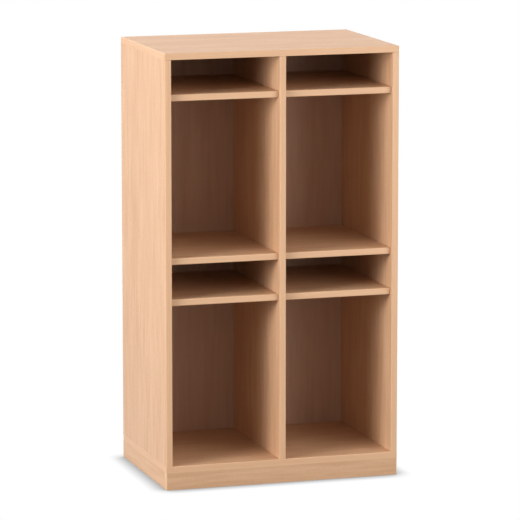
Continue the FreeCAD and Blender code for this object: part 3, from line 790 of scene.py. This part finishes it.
class BAGRACK_OT_shelf_supports(bpy.types.Operator):
    """Make the plug-in supports under the shelves"""

    bl_idname = "bag_rack.shelf_supports"
    bl_label = "Shelf Supports"

    def execute(self, context):
        sizes = context.scene.rack_sizes
        levels = [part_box(f"{level}_left")[0].z for level in SHELF_LEVELS]
        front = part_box("bag_shelf_left_edging")[0].y + sizes.support_edge
        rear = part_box("bag_shelf_left")[1].y - sizes.support_edge
        faces = {
            "shelf_supports_left": (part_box("side_panel_left")[1].x, 1),
            "shelf_supports_divider_left": (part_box("centre_divider")[0].x, -1),
            "shelf_supports_divider_right": (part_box("centre_divider")[1].x, 1),
            "shelf_supports_right": (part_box("side_panel_right")[0].x, -1),
        }
        for node, (face, way) in faces.items():
            low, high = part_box(node)
            tip, root = (high.x, low.x) if way > 0 else (low.x, high.x)
            solids = []
            for level in levels:
                for along in (front, rear):
                    solids.append(skin(self.tongue_rings(face, tip, along, level, sizes)))
                    solids.append(skin(self.pin_rings(root, tip, along, level, sizes)))
            piece = add_piece(f"plug_{node}", solids, finish("zinc_plate", context), CASE, node)
            crease_sharp(piece)
        return {"FINISHED"}

    @staticmethod
    def tongue_rings(face, tip, along, level, sizes, fillet=0.0004):
        """A flat tongue with rounded free corners: its outline at four heights, filleted at top and foot."""
        half = sizes.support_width / 2
        radius = sizes.support_round
        radii = (fillet, radius, radius, fillet) if tip > face else (radius, fillet, fillet, radius)
        low, high = min(face, tip), max(face, tip)
        full = rounded((low, along - half), (high, along + half), radii)
        centre = full.mean(axis=0)
        reach = full - centre
        drawn_in = centre + reach * (1 - fillet / np.abs(reach).max(axis=0))
        outlines = np.stack((drawn_in, full, full, drawn_in))
        foot = level - sizes.support_thickness
        heights = np.array((foot, foot + fillet, level - fillet, level))
        rings = np.empty((4, len(full), 3))
        rings[:, :, :2] = outlines
        rings[:, :, 2] = heights[:, None]
        return rings

    @staticmethod
    def pin_rings(root, tip, along, level, sizes, around=28):
        """A round pin along the width, chamfered at its hidden end and domed at its tip."""
        radius = sizes.support_pin / 2
        length = abs(tip - root)
        heights = np.array((0, 0.12, 0.2, 0.94, 0.98, 1.0)) * length
        radii = np.array((0.72, 1.0, 1.0, 1.0, 0.9, 0.6)) * radius
        if tip < root:
            heights = -heights[::-1]
            radii = radii[::-1]
        return turned_rings(radii, heights, (root, along, level - radius), LENGTHWISE, around)


class BAGRACK_OT_levelling_feet(bpy.types.Operator):
    """Make the levelling feet: ribbed pads and threaded studs with a hexagon, and dress the inserts"""

    bl_idname = "bag_rack.levelling_feet"
    bl_label = "Levelling Feet"

    def execute(self, context):
        sizes = context.scene.rack_sizes
        for corner in CORNERS:
            pad_low, pad_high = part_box(f"foot_pad_{corner}")
            centre = ((pad_low.x + pad_high.x) / 2, (pad_low.y + pad_high.y) / 2, pad_low.z)
            rings = self.pad_rings(centre, (pad_high.x - pad_low.x) / 2, pad_high.z - pad_low.z, sizes)
            pad = add_piece(f"ribbed_pad_{corner}", [skin(rings)], finish("moulded_plastic", context),
                            f"foot_{corner}", f"foot_pad_{corner}")
            crease_sharp(pad)
            stud_low, stud_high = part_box(f"foot_stud_{corner}")
            centre = (centre[0], centre[1], stud_low.z)
            rings = self.stud_rings(centre, stud_high.z - stud_low.z, pad_high.z - stud_low.z, sizes)
            stud = add_piece(f"threaded_stud_{corner}", [skin(rings)], finish("zinc_plate", context),
                             f"stud_{corner}", f"foot_stud_{corner}")
            crease_sharp(stud, 28)
            dress_node(f"threaded_insert_{corner}", finish("zinc_plate", context))
        return {"FINISHED"}

    @staticmethod
    def pad_rings(centre, radius, height, sizes, around=144, rib_height=0.0009):
        """A pad turned upright, hollowed under its foot, with ribs round its slope.

        The slope between rim and hub sinks by the ribs' height times the square of the cosine of half the
        rib count times the angle, so ribs stand between the hollows. A station is a share of the radius, a
        height and what its ring sinks.
        """
        angles = np.linspace(0, 2 * math.pi, around, endpoint=False)
        hollow = rib_height * np.cos(sizes.pad_ribs * angles / 2) ** 2
        level = np.zeros(around)
        socket = sizes.stud_diameter / 2 + 0.00005
        stations = (
            (0.15 * radius, 0.0006, level), (0.78 * radius, 0.0006, level), (0.84 * radius, 0.0, level),
            (0.96 * radius, 0.0, level), (radius, 0.0006, level), (radius, 0.0026, level),
            (0.97 * radius, 0.0031, level), (0.90 * radius, 0.0037, 0.3 * hollow),
            (0.78 * radius, 0.0049, hollow), (0.66 * radius, 0.0062, hollow),
            (0.58 * radius, height, level), (0.52 * radius, height, level), (socket, height, level),
            (socket, 0.0026, level), (0.1 * socket, 0.0025, level),
        )
        radii = np.array([station[0] for station in stations])
        heights = np.stack([station[1] - station[2] for station in stations])
        return turned_rings(radii, heights, centre, UPRIGHT, around)

    @staticmethod
    def stud_rings(centre, length, pad_top, sizes, around=36, steps=10):
        """A stud turned upright: plain foot, hexagon with chamfered corners, thread and chamfered end.

        On the thread the radius falls from crest to root and back once a pitch, and its phase is height
        over pitch less angle over a full turn, which makes a right-hand helix.
        """
        angles = np.linspace(0, 2 * math.pi, around, endpoint=False)
        crest = sizes.stud_diameter / 2
        root = crest - THREAD_DEPTH * sizes.thread_pitch
        flat = sizes.hexagon_across / 2
        hexagon = flat / np.cos((angles + math.pi / 6) % (math.pi / 3) - math.pi / 6)
        clipped = np.minimum(hexagon, 1.04 * flat)
        even = np.ones(around)
        base = pad_top + 0.0003
        shoulder = base + 0.0055
        chamfer = 0.0006
        lower = [(0.8 * crest * even, 0), (crest * even, 0.0005), (crest * even, base - 0.0002),
                 (clipped, base), (hexagon, base + chamfer), (hexagon, shoulder - chamfer),
                 (clipped, shoulder), (crest * even, shoulder + 0.0001)]
        start = shoulder + 0.0004
        stop = length - 0.0010
        heights = np.linspace(start, stop, int(steps * (stop - start) / sizes.thread_pitch))
        phase = (heights[:, None] / sizes.thread_pitch - angles / (2 * math.pi)) % 1
        fall = np.clip(1.25 * (1 - np.abs(2 * phase - 1)) - 0.06, 0, 1)
        thread = crest - (crest - root) * fall
        radii = np.concatenate((np.stack([row[0] for row in lower]), thread, (root - 0.0004) * even[None]))
        levels = np.concatenate(([row[1] for row in lower], heights, [length]))
        return turned_rings(radii, levels, centre, UPRIGHT, around)


def seen_ray(tree):
    """One for rays that show the background: those from the camera, and those mirrored or let through."""
    path = add_node(tree, "ShaderNodeLightPath").outputs
    mirrored = add_node(tree, "ShaderNodeMath", {0: path["Is Camera Ray"], 1: path["Is Glossy Ray"]},
                        operation="MAXIMUM").outputs[0]
    return add_node(tree, "ShaderNodeMath", {0: mirrored, 1: path["Is Transmission Ray"]},
                    operation="MAXIMUM").outputs[0]


def unit_to(azimuth, elevation):
    """The unit vector from the rack towards an azimuth, from straight in front, and an elevation."""
    return Vector((math.sin(azimuth) * math.cos(elevation), -math.cos(azimuth) * math.cos(elevation),
                   math.sin(elevation)))


class BAGRACK_OT_stage(bpy.types.Operator):
    """Set up the floor, the white surroundings, the soft key light and the camera"""

    bl_idname = "bag_rack.stage"
    bl_label = "Stage"

    def execute(self, context):
        stage = context.scene.rack_stage
        context.scene.view_settings.view_transform = "Standard"
        self.lay_floor(context, stage)
        self.light_world(context, stage)
        self.hang_lamps(context, stage)
        self.set_camera(context, stage)
        return {"FINISHED"}

    @staticmethod
    def lay_floor(context, stage):
        """A white floor with a painted contact shadow, which is grey to bounced light and clear from below.

        It is clear to the shortest rays too, so that the edges that stand on it aren't black from below.
        """
        half = stage.floor_size / 2
        level = CAD_BOX[0][2] - FLOOR_DROP
        mesh = bpy.data.meshes.new("floor")
        outline = rectangle((-half, -half), (half, half))
        mesh.from_pydata(np.column_stack((outline, np.full(4, level))).tolist(), [], [(0, 1, 2, 3)])
        material, tree = new_tree("floor_white")
        # The contact shadow is painted shade: the floor's white glow is dimmed by ambient occlusion near the
        # rack, and the lamps cast no shadow on it.
        open_sky = add_node(tree, "ShaderNodeAmbientOcclusion", {"Distance": stage.contact_reach},
                            samples=24).outputs["AO"]
        shade = add_node(tree, "ShaderNodeMath", {0: open_sky, 1: CONTACT_POWER}, operation="POWER")
        white = add_node(tree, "ShaderNodeEmission", {"Color": (1, 1, 1, 1), "Strength": shade.outputs[0]})
        grey = add_node(tree, "ShaderNodeBsdfDiffuse", {"Color": opaque([stage.floor_bounce] * 3)})
        shown = add_node(tree, "ShaderNodeMixShader", {
            0: seen_ray(tree), 1: grey.outputs[0], 2: white.outputs[0]})
        clear = add_node(tree, "ShaderNodeBsdfTransparent")
        below = add_node(tree, "ShaderNodeNewGeometry").outputs["Backfacing"]
        reach = add_node(tree, "ShaderNodeLightPath").outputs["Ray Length"]
        resting = add_node(tree, "ShaderNodeMath", {0: reach, 1: SHORT_RAY}, operation="LESS_THAN").outputs[0]
        passing = add_node(tree, "ShaderNodeMath", {0: below, 1: resting}, operation="MAXIMUM").outputs[0]
        both = add_node(tree, "ShaderNodeMixShader", {0: passing, 1: shown.outputs[0], 2: clear.outputs[0]})
        add_node(tree, "ShaderNodeOutputMaterial", {"Surface": both.outputs[0]})
        material.cycles.emission_sampling = "NONE"
        mesh.materials.append(material)
        floor = bpy.data.objects.new("floor", mesh)
        context.scene.collection.objects.link(floor)

    @staticmethod
    def light_world(context, stage):
        """White surroundings where they are seen, and an even, weaker light on the rack."""
        world = bpy.data.worlds.new("surroundings")
        world.use_nodes = True
        tree = world.node_tree
        tree.nodes.clear()
        even = add_node(tree, "ShaderNodeBackground", {
            "Color": opaque(stage.light_colour), "Strength": stage.ambient})
        white = add_node(tree, "ShaderNodeBackground", {"Color": (1, 1, 1, 1), "Strength": 1.0})
        both = add_node(tree, "ShaderNodeMixShader", {
            0: seen_ray(tree), 1: even.outputs[0], 2: white.outputs[0]})
        add_node(tree, "ShaderNodeOutputWorld", {"Surface": both.outputs[0]})
        context.scene.world = world

    @staticmethod
    def hang_lamps(context, stage):
        """The round soft lights, each turned to the middle of the rack."""
        middle = (Vector(CAD_BOX[0]) + Vector(CAD_BOX[1])) / 2
        for name, (azimuth, elevation, distance, size) in LAMPS.items():
            lamp = bpy.data.lights.new(name, "AREA")
            lamp.shape = "DISK"
            lamp.size = size
            lamp.color = stage.light_colour
            lamp.energy = (math.pi * distance) ** 2 * getattr(stage, name)
            towards = unit_to(math.radians(azimuth), math.radians(elevation))
            place = bpy.data.objects.new(name, lamp)
            place.location = middle + towards * distance
            place.rotation_euler = towards.to_track_quat("Z", "Y").to_euler()
            context.scene.collection.objects.link(place)

    @staticmethod
    def set_camera(context, stage):
        """The camera at the photograph's angle, upright and without shift."""
        lens = bpy.data.cameras.new("camera")
        lens.lens = stage.lens
        lens.sensor_width = SENSOR_WIDTH
        lens.clip_end = VIEW_REACH
        back = unit_to(stage.azimuth, stage.elevation)
        right = Vector((math.cos(stage.azimuth), math.sin(stage.azimuth), 0))
        up = back.cross(right)
        camera = bpy.data.objects.new("camera", lens)
        place = Vector(stage.target) + back * stage.distance
        turn = Matrix((right, up, back)).transposed().to_4x4()
        camera.matrix_world = Matrix.Translation(place) @ turn
        context.scene.collection.objects.link(camera)
        context.scene.camera = camera


OPERATORS = (
    BAGRACK_OT_case_boards,
    BAGRACK_OT_back_panel,
    BAGRACK_OT_plinth,
    BAGRACK_OT_shelves,
    BAGRACK_OT_edging,
    BAGRACK_OT_shelf_supports,
    BAGRACK_OT_levelling_feet,
    BAGRACK_OT_stage,
)


class BAGRACK_PT_looks(bpy.types.Panel):
    """Lists the rack's sizes, colours, stage and the operators that make it"""

    bl_idname = "BAGRACK_PT_looks"
    bl_label = "School Bag Rack"
    bl_space_type = "VIEW_3D"
    bl_region_type = "UI"
    bl_category = "Bag Rack"

    def draw(self, context):
        for settings in (context.scene.rack_sizes, context.scene.rack_colours, context.scene.rack_stage):
            box = self.layout.box()
            for name in settings.__annotations__:
                box.prop(settings, name)
        for operator in OPERATORS:
            self.layout.operator(operator.bl_idname)


CLASSES = (RackSizes, RackColours, RackStage, *OPERATORS, BAGRACK_PT_looks)


def register():
    for item in CLASSES:
        bpy.utils.register_class(item)
    bpy.types.Scene.rack_sizes = PointerProperty(type=RackSizes)
    bpy.types.Scene.rack_colours = PointerProperty(type=RackColours)
    bpy.types.Scene.rack_stage = PointerProperty(type=RackStage)


def unregister():
    del bpy.types.Scene.rack_stage
    del bpy.types.Scene.rack_colours
    del bpy.types.Scene.rack_sizes
    for item in reversed(CLASSES):
        bpy.utils.unregister_class(item)


def main():
    register()
    bpy.ops.bag_rack.case_boards()
    bpy.ops.bag_rack.back_panel()
    bpy.ops.bag_rack.plinth()
    bpy.ops.bag_rack.shelves()
    bpy.ops.bag_rack.edging()
    bpy.ops.bag_rack.shelf_supports()
    bpy.ops.bag_rack.levelling_feet()
    bpy.ops.bag_rack.stage()


if __name__ == "__main__":
    main()
